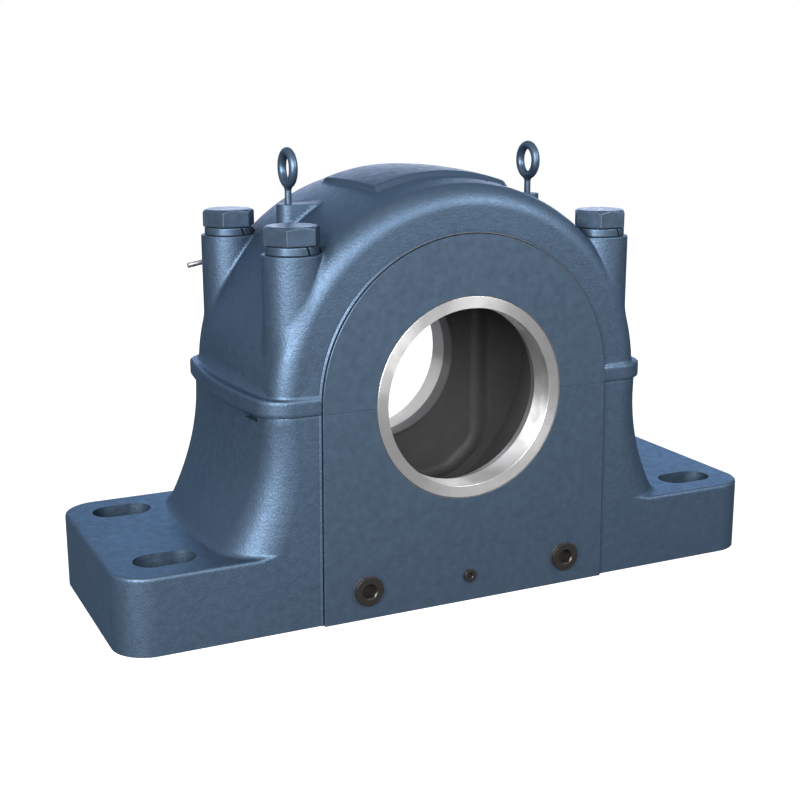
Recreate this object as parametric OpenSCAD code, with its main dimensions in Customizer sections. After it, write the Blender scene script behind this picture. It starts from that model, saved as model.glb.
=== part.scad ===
// Large split plummer block housing: cast base and cap, bolted at the shaft's centre line,
// with a labyrinth seal ring in each side wall. Millimetres, Z up, Y along the shaft.
// The origin is the middle of the base's underside.

/* [Foot] */
// Length of the foot
foot_length = 880; // [840:1:960]
// Width of the foot, and of the casting above it
foot_width = 310; // [300:1:330]
// Height of the foot's upper face
foot_height = 95; // [70:1:110]
// Plan radius of the foot's corners
foot_corner_r = 45; // [20:1:60]
// Rounding along the foot's upper edge
foot_edge_r = 4; // [2:0.5:8]
// Distance between the bolt slots along the foot
slot_spacing_x = 740; // [720:1:760]
// Distance between the bolt slots across the foot
slot_spacing_y = 200; // [180:1:220]
// End to end length of a bolt slot
slot_length = 75; // [60:1:90]
// Width of a bolt slot
slot_width = 45; // [36:1:50]

/* [Body] */
// Height of the shaft's centre line, where base and cap part
centre_height = 260; // [255:1:280]
// Half width of the base just under the cap
body_half_w = 268; // [262:1:275]
// Half width of the base where it flares into the foot
flare_half_w = 314; // [300:1:320]
// Plan radius of the base's corners at the top
body_corner_r = 27; // [20:1:36]
// Plan radius of the base's corners at the foot
flare_corner_r = 50; // [36:1:60]
// Bulge radius of the long side walls in plan
side_bulge_r = 700; // [600:10:1200]
// How far the flat end face stands out of the casting
face_step = 5; // [2:0.5:6]
// Half width of the end face at the underside
face_half_w = 195; // [194:0.5:200]
// How far in front of the middle the pry slots lie
pry_y = 101; // [90:1:106]
// Depth of the pry slots under the flange
pry_depth = 14; // [8:1:20]
// Length of a pry slot
pry_length = 34; // [20:1:45]
// Height of a pry slot
pry_height = 10; // [6:1:14]

/* [Cap] */
// Radius of the arch at its crown
arch_r = 258; // [254:1:262]
// Height of the arch's axis above the parting face
arch_rise = 6; // [3:1:10]
// Bulge radius of the arch from end to end
arch_bulge_r = 1100; // [600:10:1600]
// Rounding of the arch's shoulders
arch_shoulder_r = 24; // [20:1:40]
// How far the arch's ends lie behind the foot's sides
arch_setback = 1; // [0.5:0.5:4]
// Radius of the round end face on the cap
face_r = 192.5; // [188:0.5:193]
// Thickness of the cap's flange
flange_h = 20; // [14:1:26]
// Overhang of the flange over the base's side walls
flange_overhang = 7; // [4:0.5:10]
// Plan radius of the flange's corners
flange_corner_r = 32; // [26:1:40]
// How far the flange's ends lie behind the end face
flange_setback = 2.5; // [1:0.5:4]
// Height of the leaning wall above the flange
skirt_h = 65; // [50:1:80]
// How far the leaning wall's foot lies inside the flange's edge
skirt_inset = 12; // [9:1:16]
// Height of the raised pad on the crown
pad_h = 6; // [2:0.5:8]
// Half width of the raised pad, along the shaft
pad_half_y = 85; // [60:1:95]
// Angle that the raised pad spans over the crown
pad_angle = 40; // [30:1:50]

/* [Bearing and seal] */
// Radius of the bearing seat
seat_r = 220; // [216:0.5:222]
// Width of the bearing seat
seat_w = 180; // [160:1:190]
// Radius of the space on each side of the seat
pocket_r = 206; // [200:1:210]
// Thickness of the end walls, to the end face
wall_t = 47; // [45:1:48]
// Height of the oil space's floor
sump_floor = 78; // [70:1:90]
// Radius of the columns that carry the cap bolts inside
column_r = 50; // [44:1:54]
// Shaft radius, the bore of the seal rings
shaft_r = 110; // [105:0.5:111]
// Outer radius of the seal ring's face
ring_r = 124.2; // [123:0.1:126]
// Running clearance round the seal ring
ring_gap = 0.6; // [0.4:0.1:0.8]
// End clearance of the seal ring's fins in their grooves
fin_gap = 1; // [0.6:0.1:1.2]
// Radius of the labyrinth fins
fin_r = 131; // [129:0.5:134]
// Width of a labyrinth fin
fin_w = 5; // [4:0.5:6]

/* [Cap bolts] */
// Half distance between the cap bolts, across the shaft
bolt_x = 208.5; // [207:0.5:212]
// Half distance between the cap bolts, along the shaft
bolt_y = 113; // [111:0.5:115]
// Cap bolt diameter
bolt_d = 36; // [30:1:36]
// Width across flats of the bolt head
bolt_head_af = 60; // [50:1:60]
// Height of the bolt head
bolt_head_h = 22.5; // [18:0.5:26]
// How deep the bolts reach into the base
bolt_grip = 62; // [45:1:75]
// Radius of the bolt towers
tower_r = 36; // [34:0.5:40]
// How deep the bolt seats on the towers are cut into the arch beside them
spot_depth = 3.3; // [1:0.1:6]
// Outer radius of the spring washers
washer_r = 31.2; // [29:0.1:33]
// Thickness of the spring washers
washer_t = 10; // [7:0.5:11]
// Angle at which the spring washers are cut
washer_cut_angle = -73; // [-180:1:180]

/* [Fittings] */
// Half distance between the eyebolts
eye_x = 169; // [160:1:175]
// Height of the eyebolt bosses above the arch around them
boss_rise = 31; // [20:1:36]
// Radius of the eyebolt bosses
boss_r = 15; // [12:0.5:18]
// Outer diameter of an eyebolt's ring
eye_d = 50; // [44:1:56]
// Thickness of the eyebolt's ring
eye_t = 11; // [9:0.5:12]
// Diameter of the eyebolt's shank
eye_shank_d = 8.5; // [7:0.5:10]
// Height of the ring's middle above its boss
eye_rise = 39; // [32:1:44]
// Distance of the dowel pins from the middle, across the shaft
dowel_x = 242; // [239:0.5:244]
// Distance of the dowel pins from the middle, along the shaft
dowel_y = 45; // [20:1:60]
// Diameter of the dowel pins
dowel_d = 16; // [10:1:16]
// Length of the dowel pins
dowel_l = 44; // [30:1:50]
// Half distance between the drain plugs
drain_x = 138; // [130:1:145]
// Height of the drain plugs
drain_z = 36.5; // [32:0.5:45]
// Diameter of a drain plug's collar
drain_d = 37; // [32:0.5:40]
// Diameter of a drain plug's thread
drain_thread_d = 26; // [20:0.5:28]
// Diameter of the small plug's collar
small_plug_d = 17; // [14:0.5:20]
// Diameter of the small plug's thread
small_thread_d = 10; // [8:0.5:12]
// Height of the small plug
small_plug_z = 33; // [28:0.5:40]
// Diameter of the grease pipe
pipe_d = 7; // [5:0.5:8]
// Length of the grease pipe, outside its fitting's seat
pipe_l = 29; // [20:1:60]
// How far below its tower's face the grease pipe comes out
pipe_drop = 37; // [20:1:60]

/* [Hidden] */
$fn = 96;

// Colours of the real finishes
paint = [0.33, 0.41, 0.52];
steel = [0.80, 0.80, 0.81];
black_oxide = [0.16, 0.13, 0.12];
copper = [0.62, 0.42, 0.30];

// Planes that the castings share
half_d = foot_width / 2;
end_face_y = half_d + face_step;
flange_half_w = body_half_w + flange_overhang;
flange_half_d = end_face_y - flange_setback;
flange_top = centre_height + flange_h;
arch_half_d = half_d - arch_setback;
arch_z = centre_height + arch_rise;
inner_wall_y = end_face_y - wall_t;

// Height of the arch's surface over a place on it
function arch_height(x, y) =
  arch_z + sqrt(pow(arch_r - arch_bulge_r + sqrt(pow(arch_bulge_r, 2) - y * y), 2) - x * x);
tower_top = arch_height(bolt_x - washer_r, bolt_y) - spot_depth;
boss_top = arch_height(eye_x, 0) + boss_rise;
pipe_z = tower_top - pipe_drop;

// Stations of the seal ring, measured inwards from the end face
face_w = 10;
fin_space = 6;
fin_1 = face_w + fin_space;
fin_2 = fin_1 + fin_w + fin_space;
neck_end = fin_2 + fin_w + fin_space;
sleeve_end = wall_t + 4;
taper_start = 35;

// Radii of the seal ring
neck_r = ring_r - 5;
sleeve_r = shaft_r + 6;
taper_r = shaft_r + 4.4;

// Clearances round the bolts, washers, threads and fitted pins, on the radius,
// and the washers' play on the diameter
bolt_clearance = 1.5;
spot_clearance = 2;
thread_clearance = 0.1;
seat_clearance = 0.05;
washer_play = 1.1;

// Chamfer of the bores' edges, depth of a drilled hole past its thread,
// and how far a cut runs past the face that it opens
edge_break = 1.5;
drill_past = 3;
hole_past = 1;

// Numbers of steps in the flares, corners, bulging sides and the foot's edge
flare_steps = 7;
skirt_steps = 4;
corner_steps = 8;
side_steps = 3;
edge_steps = 3;

// Centre of a plan corner whose arc runs smoothly into the bulging side
function corner_x(w, d, bulge, corner) =
  w - bulge + sqrt(pow(bulge - corner, 2) - pow(d - corner, 2));
function corner_angle(d, bulge, corner) = asin((d - corner) / (bulge - corner));

// One quarter of the plan outline, from the middle of the side to the end
function plan_quarter(w, d, bulge, corner) =
  let (a = corner_angle(d, bulge, corner), cx = corner_x(w, d, bulge, corner))
  concat(
    [for (i = [0:side_steps]) let (t = a * i / side_steps)
      [w - bulge + bulge * cos(t), bulge * sin(t)]],
    [for (i = [1:corner_steps]) let (t = a + (90 - a) * i / corner_steps)
      [cx + corner * cos(t), d - corner + corner * sin(t)]]
  );
function reversed(list) = [for (i = [len(list) - 1:-1:0]) list[i]];
function without_first(list) = [for (i = [1:len(list) - 1]) list[i]];
function flipped(list, sx, sy) = [for (p = list) [p.x * sx, p.y * sy]];

// The whole outline, anticlockwise
function plan_loop(w, d, bulge, corner) =
  let (q = plan_quarter(w, d, bulge, corner), open = without_first(q))
  concat(q, reversed(flipped(open, -1, 1)), flipped(q, -1, -1), reversed(flipped(open, 1, -1)));

// The same outline with true arcs
module plan_outline(w, d, bulge, corner) {
  cx = corner_x(w, d, bulge, corner);
  tangent_y = bulge * sin(corner_angle(d, bulge, corner));
  intersection() {
    translate([w - bulge, 0]) circle(r = bulge, $fn = 360);
    translate([bulge - w, 0]) circle(r = bulge, $fn = 360);
    square([2 * w, 2 * tangent_y], center = true);
  }
  square([2 * cx, 2 * d], center = true);
  for (sx = [-1, 1], sy = [-1, 1])
    translate([sx * cx, sy * (d - corner)]) circle(r = corner);
}

// The outline of a rectangle with rounded corners, anticlockwise
function rounded_loop(length, width, corner) = [
  for (k = [0:3], i = [0:corner_steps])
    let (t = 90 * k + 90 * i / corner_steps, sx = (k == 0 || k == 3) ? 1 : -1, sy = k < 2 ? 1 : -1)
    [sx * (length / 2 - corner) + corner * cos(t), sy * (width / 2 - corner) + corner * sin(t)]
];

// A skin through a stack of outlines, each lying at its own height
module skin(loops, heights) {
  n = len(loops[0]);
  top = (len(loops) - 1) * n;
  sides = [for (k = [0:len(loops) - 2], i = [0:n - 1])
    [k * n + i, (k + 1) * n + i, (k + 1) * n + (i + 1) % n, k * n + (i + 1) % n]];
  polyhedron(
    points = [for (k = [0:len(loops) - 1], p = loops[k]) [p.x, p.y, heights[k]]],
    faces = concat(sides, [[for (i = [0:n - 1]) i]], [[for (i = [n - 1:-1:0]) top + i]]),
    convexity = 4
  );
}

// A skin whose levels are [height, half width, half depth, corner radius]
module loft(levels, bulge) {
  skin([for (v = levels) plan_loop(v[1], v[2], bulge, v[3])], [for (v = levels) v[0]]);
}

// A cylinder along the shaft's direction, from y0 to y1
module along_y(r, y0, y1, z = centre_height) {
  translate([0, y1, z]) rotate([90, 0, 0]) cylinder(r = r, h = y1 - y0);
}

// A turned profile about the shaft's axis. Profile points are [radius, distance inwards]
// from the end face, and side is -1 for the front wall and 1 for the rear one.
module turned_from_face(points, side) {
  translate([0, side * end_face_y, centre_height])
    rotate([side * 90, 0, 0])
      rotate_extrude() polygon(points);
}

// The foot, with its upper edge rounded
module foot() {
  round_z = foot_height - foot_edge_r;
  turns = [for (i = [0:edge_steps]) 90 * i / edge_steps];
  skin(
    concat(
      [rounded_loop(foot_length, foot_width, foot_corner_r)],
      [for (t = turns) let (inset = foot_edge_r * (1 - cos(t)))
        rounded_loop(foot_length - 2 * inset, foot_width - 2 * inset, foot_corner_r - inset)]
    ),
    concat([0], [for (t = turns) round_z + foot_edge_r * sin(t)])
  );
}

module foot_slots() {
  reach = (slot_length - slot_width) / 2;
  for (sx = [-1, 1], sy = [-1, 1])
    translate([sx * slot_spacing_x / 2, sy * slot_spacing_y / 2, -hole_past])
      linear_extrude(foot_height + 2 * hole_past) {
        square([2 * reach, slot_width], center = true);
        for (dx = [-reach, reach]) translate([dx, 0]) circle(d = slot_width);
      }
}

// Everything that both castings leave open round the shaft
module cavity() {
  along_y(seat_r, -seat_w / 2, seat_w / 2);
  difference() {
    intersection() {
      along_y(pocket_r, -inner_wall_y, inner_wall_y);
      translate([-pocket_r, -inner_wall_y, sump_floor])
        cube([2 * pocket_r, 2 * inner_wall_y, centre_height + pocket_r]);
    }
    for (sx = [-1, 1], sy = [-1, 1])
      translate([sx * bolt_x, sy * bolt_y, 0]) cylinder(r = column_r, h = tower_top);
  }
  for (side = [-1, 1]) turned_from_face(wall_bore_profile(), side);
}

// The bore through an end wall, with the labyrinth grooves
function wall_bore_profile() = [
  [0, -hole_past],
  [ring_r + ring_gap + edge_break + hole_past, -hole_past],
  [ring_r + ring_gap, edge_break],
  [ring_r + ring_gap, face_w + fin_gap],
  [neck_r + ring_gap, face_w + fin_gap],
  [neck_r + ring_gap, fin_1 - fin_gap],
  [fin_r + ring_gap, fin_1 - fin_gap],
  [fin_r + ring_gap, fin_1 + fin_w + fin_gap],
  [neck_r + ring_gap, fin_1 + fin_w + fin_gap],
  [neck_r + ring_gap, fin_2 - fin_gap],
  [fin_r + ring_gap, fin_2 - fin_gap],
  [fin_r + ring_gap, fin_2 + fin_w + fin_gap],
  [neck_r + ring_gap, fin_2 + fin_w + fin_gap],
  [neck_r + ring_gap, neck_end + fin_gap],
  [sleeve_r + ring_gap, neck_end + fin_gap],
  [sleeve_r + ring_gap, wall_t + hole_past],
  [0, wall_t + hole_past]
];

// The flat end face, with sides that widen a little towards the underside
module end_face_plate(z_low, z_high) {
  depth = end_face_y - inner_wall_y;
  slope = (face_half_w - face_r) / arch_z;
  low_w = face_half_w - slope * z_low;
  high_w = face_half_w - slope * z_high;
  for (side = [-1, 1])
    translate([0, side > 0 ? end_face_y : -inner_wall_y, 0])
      rotate([90, 0, 0])
        linear_extrude(depth)
          polygon([[-low_w, z_low], [low_w, z_low], [high_w, z_high], [-high_w, z_high]]);
}

module at_bolts() {
  for (sx = [-1, 1], sy = [-1, 1]) translate([sx * bolt_x, sy * bolt_y, 0]) children();
}

// One dowel sits in front of the middle, and the other one behind it
module at_dowel(side) {
  translate([side * dowel_x, side * dowel_y, centre_height]) children();
}

// Pry slots open outwards in the base's side walls, just under the flange
module pry_slots() {
  for (sx = [0, 1])
    mirror([sx, 0, 0])
      translate([body_half_w - pry_depth, -pry_y - pry_length / 2, centre_height - pry_height])
        cube([pry_depth + hole_past, pry_length, pry_height + hole_past]);
}

// Tapped holes of the plugs. A drilled way joins the large ones of the two ends, and rises
// into the oil space behind the front wall.
drain_thread_l = 24;
small_thread_l = 14;
way_d = 16;
way_y = (seat_w / 2 + inner_wall_y) / 2;
way_top = centre_height - sqrt(pow(pocket_r, 2) - pow(drain_x + way_d / 2, 2));

module plug_holes() {
  for (sx = [-1, 1])
    translate([sx * drain_x, 0, 0]) {
      along_y(way_d / 2, -end_face_y, end_face_y, drain_z);
      translate([0, -way_y, drain_z]) cylinder(d = way_d, h = way_top + hole_past - drain_z);
    }
  for (side = [-1, 1]) {
    for (sx = [-1, 1])
      on_end_face(sx * drain_x, drain_z, side) tapped_hole(drain_thread_d, drain_thread_l);
    on_end_face(0, small_plug_z, side) tapped_hole(small_thread_d, small_thread_l);
  }
}

// A threaded hole that opens at the plane z = 0 and runs down
module tapped_hole(d, depth) {
  translate([0, 0, -depth - drill_past])
    cylinder(d = d + 2 * thread_clearance, h = depth + drill_past + hole_past);
}

// A drilled way between two points
module drilled(from, to, d) {
  way = to - from;
  translate(from)
    rotate([0, acos(way.z / norm(way)), atan2(way.y, way.x)]) cylinder(d = d, h = norm(way));
}

// Moves what looks up at the origin onto an end face, looking outwards
module on_end_face(x, z, side) {
  translate([x, side * end_face_y, z]) rotate([-side * 90, 0, 0]) children();
}

// Levels of the base's flare, a parabola from under the parting face down to the foot.
// Its lowest level lies inside the foot, below the rounded edge.
flare_top = centre_height - pry_height;
flare_foot = foot_height - 2 * foot_edge_r;
function flare_level(t) = [
  flare_top - (flare_top - foot_height) * t,
  body_half_w + (flare_half_w - body_half_w) * t * t,
  half_d,
  body_corner_r + (flare_corner_r - body_corner_r) * t
];

module housing_base() {
  color(paint)
    difference() {
      union() {
        foot();
        loft(concat(
          [[flare_foot, flare_half_w, half_d, flare_corner_r]],
          [for (i = [flare_steps:-1:0]) flare_level(i / flare_steps)],
          [[centre_height, body_half_w, half_d, body_corner_r]]
        ), side_bulge_r);
        end_face_plate(0, centre_height);
      }
      cavity();
      foot_slots();
      pry_slots();
      plug_holes();
      at_bolts() translate([0, 0, centre_height]) tapped_hole(bolt_d, bolt_grip);
      for (side = [-1, 1]) at_dowel(side) dowel_hole();
    }
}

// Half of this hole lies in each casting
module dowel_hole() {
  cylinder(d = dowel_d + 2 * seat_clearance, h = dowel_l + 2 * hole_past, center = true, $fn = 48);
}

// The right eyebolt's boss: it runs inwards to the arch, with a round outer end and a flat top
boss_web = 50;
boss_l = 60;
module eyebolt_boss() {
  translate([eye_x, 0, boss_top - boss_l]) cylinder(r = boss_r, h = boss_l);
  translate([eye_x - boss_web, -boss_r, boss_top - boss_l]) cube([boss_web, 2 * boss_r, boss_l]);
}

// Levels of the leaning wall, from inside the flange up into the arch
skirt_sink = 1;
skirt_top = flange_top + skirt_h;
skirt_low_w = flange_half_w - skirt_inset;
skirt_high_w = sqrt(pow(arch_r, 2) - pow(skirt_top - arch_z, 2)) - 2;
skirt_low_d = arch_half_d - 2;
skirt_high_d = arch_half_d - 6;
function skirt_level(t) = [
  flange_top - skirt_sink + skirt_h * t,
  skirt_low_w + (skirt_high_w - skirt_low_w) * (2 * t - t * t),
  skirt_low_d + (skirt_high_d - skirt_low_d) * t,
  tower_r
];

module arch() {
  translate([0, 0, arch_z]) rotate([90, 0, 0])
    rotate_extrude(angle = 180, $fn = 180)
      intersection() {
        plan_outline(arch_r, arch_half_d, arch_bulge_r, arch_shoulder_r);
        translate([0, -arch_half_d]) square([arch_r, 2 * arch_half_d]);
      }
  translate([0, 0, centre_height])
    linear_extrude(arch_rise) plan_outline(arch_r, arch_half_d, arch_bulge_r, arch_shoulder_r);
}

module crown_pad() {
  root = 30;
  translate([0, 0, arch_z]) rotate([90, 0, 0]) rotate([0, 0, 90 - pad_angle / 2])
    rotate_extrude(angle = pad_angle, $fn = 180)
      intersection() {
        plan_outline(arch_r + pad_h, arch_half_d + pad_h, arch_bulge_r, arch_shoulder_r);
        translate([arch_r - root, -pad_half_y]) square([root + pad_h, 2 * pad_half_y]);
      }
}

module housing_cap() {
  color(paint)
    difference() {
      union() {
        arch();
        crown_pad();
        translate([0, 0, centre_height])
          linear_extrude(flange_h)
            plan_outline(flange_half_w, flange_half_d, side_bulge_r, flange_corner_r);
        loft([for (i = [0:skirt_steps]) skirt_level(i / skirt_steps)], side_bulge_r);
        at_bolts() translate([0, 0, arch_z]) cylinder(r = tower_r, h = tower_top - arch_z);
        for (sx = [0, 1]) mirror([sx, 0, 0]) eyebolt_boss();
        pipe_place() mirror([0, 0, 1]) cylinder(r = fitting_seat_r, h = tower_r);
        end_face_plate(centre_height, arch_z);
        for (side = [0, 1])
          mirror([0, side, 0]) along_y(face_r, inner_wall_y, end_face_y, arch_z);
      }
      translate([-foot_length / 2, -foot_width, -hole_past])
        cube([foot_length, 2 * foot_width, centre_height + hole_past]);
      cavity();
      at_bolts() {
        translate([0, 0, centre_height - hole_past])
          cylinder(d = bolt_d + 2 * bolt_clearance, h = tower_top - centre_height + 2 * hole_past);
        translate([0, 0, tower_top])
          cylinder(r = washer_r + spot_clearance, h = washer_t + bolt_head_h);
      }
      for (side = [-1, 1]) at_dowel(side) dowel_hole();
      for (sx = [-1, 1])
        translate([sx * eye_x, 0, boss_top]) tapped_hole(eye_shank_d, eye_thread_l);
      pipe_place() cylinder(r = fitting_seat_r, h = tower_r);
      pipe_place() tapped_hole(fitting_thread_d, fitting_thread_l);
      drilled([pipe_x + fitting_thread_l, pipe_y, pipe_z], grease_way_end, grease_way_d);
    }
}

// The seal ring's section: face, two labyrinth fins and a sleeve with a tapered mouth
function ring_profile() = [
  [shaft_r, 0],
  [ring_r, 0],
  [ring_r, face_w],
  [neck_r, face_w],
  [neck_r, fin_1],
  [fin_r, fin_1],
  [fin_r, fin_1 + fin_w],
  [neck_r, fin_1 + fin_w],
  [neck_r, fin_2],
  [fin_r, fin_2],
  [fin_r, fin_2 + fin_w],
  [neck_r, fin_2 + fin_w],
  [neck_r, neck_end],
  [sleeve_r, neck_end],
  [sleeve_r, sleeve_end],
  [taper_r, sleeve_end],
  [shaft_r, taper_start]
];

module seal_ring(side) {
  color(steel) turned_from_face(ring_profile(), side);
}
module front_seal_ring() { seal_ring(-1); }
module rear_seal_ring() { seal_ring(1); }

// Hexagon prism with its corners turned off at the top
module hex_head(af, h) {
  corner_r = af / sqrt(3);
  top_r = 0.48 * af;
  cone_h = (corner_r - top_r) * tan(30);
  intersection() {
    cylinder(r = corner_r, h = h, $fn = 6);
    union() {
      cylinder(r = corner_r, h = h - cone_h);
      translate([0, 0, h - cone_h]) cylinder(r1 = corner_r, r2 = top_r, h = cone_h);
    }
  }
}

module cap_bolt(sx, sy) {
  head_z = tower_top + washer_t;
  color(paint)
    translate([sx * bolt_x, sy * bolt_y, 0]) {
      translate([0, 0, head_z]) hex_head(bolt_head_af, bolt_head_h);
      translate([0, 0, centre_height - bolt_grip])
        cylinder(d = bolt_d, h = head_z - centre_height + bolt_grip);
    }
}
module cap_bolt_front_left() { cap_bolt(-1, -1); }
module cap_bolt_front_right() { cap_bolt(1, -1); }
module cap_bolt_rear_left() { cap_bolt(-1, 1); }
module cap_bolt_rear_right() { cap_bolt(1, 1); }

// A split ring
module spring_washer(sx, sy) {
  cut_w = 3;
  color(paint)
    translate([sx * bolt_x, sy * bolt_y, tower_top])
      difference() {
        cylinder(r = washer_r, h = washer_t);
        translate([0, 0, -hole_past])
          cylinder(d = bolt_d + washer_play, h = washer_t + 2 * hole_past);
        rotate([0, 0, washer_cut_angle])
          translate([0, -cut_w / 2, -hole_past])
            cube([washer_r + hole_past, cut_w, washer_t + 2 * hole_past]);
      }
}
module spring_washer_front_left() { spring_washer(-1, -1); }
module spring_washer_front_right() { spring_washer(1, -1); }
module spring_washer_rear_left() { spring_washer(-1, 1); }
module spring_washer_rear_right() { spring_washer(1, 1); }

eye_thread_l = 22;
module eyebolt(side) {
  ring_mid_r = (eye_d - eye_t) / 2;
  neck_h = 12;
  color(paint)
    translate([side * eye_x, 0, boss_top]) {
      translate([0, 0, eye_rise]) rotate([0, 90, 0])
        rotate_extrude() translate([ring_mid_r, 0]) circle(d = eye_t, $fn = 32);
      translate([0, 0, -eye_thread_l])
        cylinder(d = eye_shank_d, h = eye_thread_l + eye_rise - ring_mid_r, $fn = 32);
      translate([0, 0, eye_rise - ring_mid_r - neck_h])
        cylinder(d1 = eye_shank_d, d2 = eye_t - 1, h = neck_h, $fn = 32);
    }
}
module eyebolt_left() { eyebolt(-1); }
module eyebolt_right() { eyebolt(1); }

module dowel_pin(side) {
  chamfer = 2;
  color(steel)
    at_dowel(side) {
      cylinder(d = dowel_d, h = dowel_l - 2 * chamfer, center = true, $fn = 48);
      for (m = [0, 1])
        mirror([0, 0, m]) translate([0, 0, dowel_l / 2 - chamfer])
          cylinder(d1 = dowel_d, d2 = dowel_d - 2 * chamfer, h = chamfer, $fn = 48);
    }
}
module dowel_pin_left() { dowel_pin(-1); }
module dowel_pin_right() { dowel_pin(1); }

gasket_t = 1.5;
plug_collar_t = 3.5;

// A collared plug with a hexagon socket. seat_t is the gasket under its collar.
module socket_plug(collar_d, thread_d, thread_l, socket_af, seat_t) {
  head_top = seat_t + plug_collar_t;
  socket_r = socket_af / sqrt(3);
  socket_depth = 0.6 * socket_af;
  chamfer = 1;
  difference() {
    union() {
      translate([0, 0, -thread_l]) cylinder(d = thread_d, h = thread_l + seat_t + chamfer);
      translate([0, 0, seat_t]) cylinder(d = collar_d, h = plug_collar_t - chamfer);
      translate([0, 0, head_top - chamfer])
        cylinder(d1 = collar_d, d2 = collar_d - 2 * chamfer, h = chamfer);
    }
    translate([0, 0, head_top - socket_depth])
      cylinder(r = socket_r, h = socket_depth + hole_past, $fn = 6);
    translate([0, 0, head_top - chamfer])
      cylinder(r1 = socket_r - chamfer / 2, r2 = socket_r + chamfer / 2, h = chamfer);
  }
}

module drain_plug(sx, side) {
  color(black_oxide)
    on_end_face(sx * drain_x, drain_z, side)
      socket_plug(drain_d, drain_thread_d, drain_thread_l, 17, gasket_t);
}
module drain_plug_front_left() { drain_plug(-1, -1); }
module drain_plug_front_right() { drain_plug(1, -1); }
module drain_plug_rear_left() { drain_plug(-1, 1); }
module drain_plug_rear_right() { drain_plug(1, 1); }

module plug_gasket(sx, side) {
  color(copper)
    on_end_face(sx * drain_x, drain_z, side)
      difference() {
        cylinder(d = drain_d - 1, h = gasket_t);
        translate([0, 0, -hole_past])
          cylinder(d = drain_thread_d + 2 * thread_clearance, h = gasket_t + 2 * hole_past);
      }
}
module plug_gasket_front_left() { plug_gasket(-1, -1); }
module plug_gasket_front_right() { plug_gasket(1, -1); }
module plug_gasket_rear_left() { plug_gasket(-1, 1); }
module plug_gasket_rear_right() { plug_gasket(1, 1); }

module small_plug(side) {
  color(black_oxide)
    on_end_face(0, small_plug_z, side)
      socket_plug(small_plug_d, small_thread_d, small_thread_l, 6, 0);
}
module small_plug_front() { small_plug(-1); }
module small_plug_rear() { small_plug(1); }

// The grease pipe leaves a spot-faced seat on the rear left tower and droops a little.
// From its fitting a drilled way leads into the space beside the bearing seat.
pipe_bearing = 120;
pipe_droop = 10;
pipe_x = -bolt_x + tower_r * cos(pipe_bearing) - 1;
pipe_y = bolt_y + tower_r * sin(pipe_bearing);
pipe_wall = 1.5;
pipe_seat_l = 3;
fitting_seat_r = 9.5;
fitting_thread_d = 10;
fitting_thread_l = 12;
fitting_af = 13;
fitting_hex_h = 5;
grease_way_d = 4;
grease_way_end = [-140, 105, centre_height + 135];
module pipe_place() {
  translate([pipe_x, pipe_y, pipe_z]) rotate([0, -90 - pipe_droop, 0]) children();
}

module pipe_fitting() {
  color(steel)
    pipe_place()
      difference() {
        union() {
          translate([0, 0, -fitting_thread_l])
            cylinder(d = fitting_thread_d, h = fitting_thread_l + fitting_hex_h);
          cylinder(r = fitting_af / sqrt(3), h = fitting_hex_h, $fn = 6);
        }
        translate([0, 0, -pipe_seat_l])
          cylinder(d = pipe_d + 2 * seat_clearance, h = pipe_seat_l + fitting_hex_h + hole_past);
        translate([0, 0, -fitting_thread_l - hole_past])
          cylinder(d = grease_way_d, h = fitting_thread_l + hole_past);
      }
}

module grease_pipe() {
  color(steel)
    pipe_place()
      translate([0, 0, -pipe_seat_l])
        difference() {
          cylinder(d = pipe_d, h = pipe_seat_l + pipe_l);
          translate([0, 0, -hole_past])
            cylinder(d = pipe_d - 2 * pipe_wall, h = pipe_seat_l + pipe_l + 2 * hole_past);
        }
}

housing_base();
housing_cap();
front_seal_ring();
rear_seal_ring();
cap_bolt_front_left();
cap_bolt_front_right();
cap_bolt_rear_left();
cap_bolt_rear_right();
spring_washer_front_left();
spring_washer_front_right();
spring_washer_rear_left();
spring_washer_rear_right();
eyebolt_left();
eyebolt_right();
dowel_pin_left();
dowel_pin_right();
drain_plug_front_left();
drain_plug_front_right();
drain_plug_rear_left();
drain_plug_rear_right();
plug_gasket_front_left();
plug_gasket_front_right();
plug_gasket_rear_left();
plug_gasket_rear_right();
small_plug_front();
small_plug_rear();
pipe_fitting();
grease_pipe();
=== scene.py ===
# Looks of the split plummer block. Lengths are written in millimetres and turned into metres
# where a mesh is made. Y runs along the shaft, Z is up, and the camera stands in front, at -Y.

import math
from itertools import product

import bpy
import numpy as np
from mathutils import Matrix, Vector


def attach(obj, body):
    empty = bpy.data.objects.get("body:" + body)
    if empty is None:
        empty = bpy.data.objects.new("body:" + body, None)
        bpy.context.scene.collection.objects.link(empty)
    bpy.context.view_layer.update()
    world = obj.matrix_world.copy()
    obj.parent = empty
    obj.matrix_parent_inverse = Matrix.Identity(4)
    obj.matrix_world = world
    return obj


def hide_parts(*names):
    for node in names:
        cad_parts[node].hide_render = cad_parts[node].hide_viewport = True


MM = 0.001
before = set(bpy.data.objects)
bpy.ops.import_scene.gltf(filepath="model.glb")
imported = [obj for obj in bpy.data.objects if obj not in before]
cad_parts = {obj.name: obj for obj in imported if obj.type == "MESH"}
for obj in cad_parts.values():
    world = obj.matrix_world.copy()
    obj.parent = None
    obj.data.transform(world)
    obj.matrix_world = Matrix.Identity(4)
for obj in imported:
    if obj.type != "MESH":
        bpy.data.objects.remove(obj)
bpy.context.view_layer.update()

# Main sizes, as in the CAD model
CENTRE_Z = 260.0
FOOT_HALF_L, FOOT_HALF_W, FOOT_H = 440.0, 155.0, 95.0
FOOT_CORNER_R = 45.0
SLOT_X, SLOT_Y, SLOT_L, SLOT_W = 370.0, 100.0, 75.0, 45.0
BODY_HALF_W, FLARE_HALF_W = 268.0, 314.0
BODY_CORNER_R, FLARE_CORNER_R = 27.0, 50.0
SIDE_BULGE_R = 700.0
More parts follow.
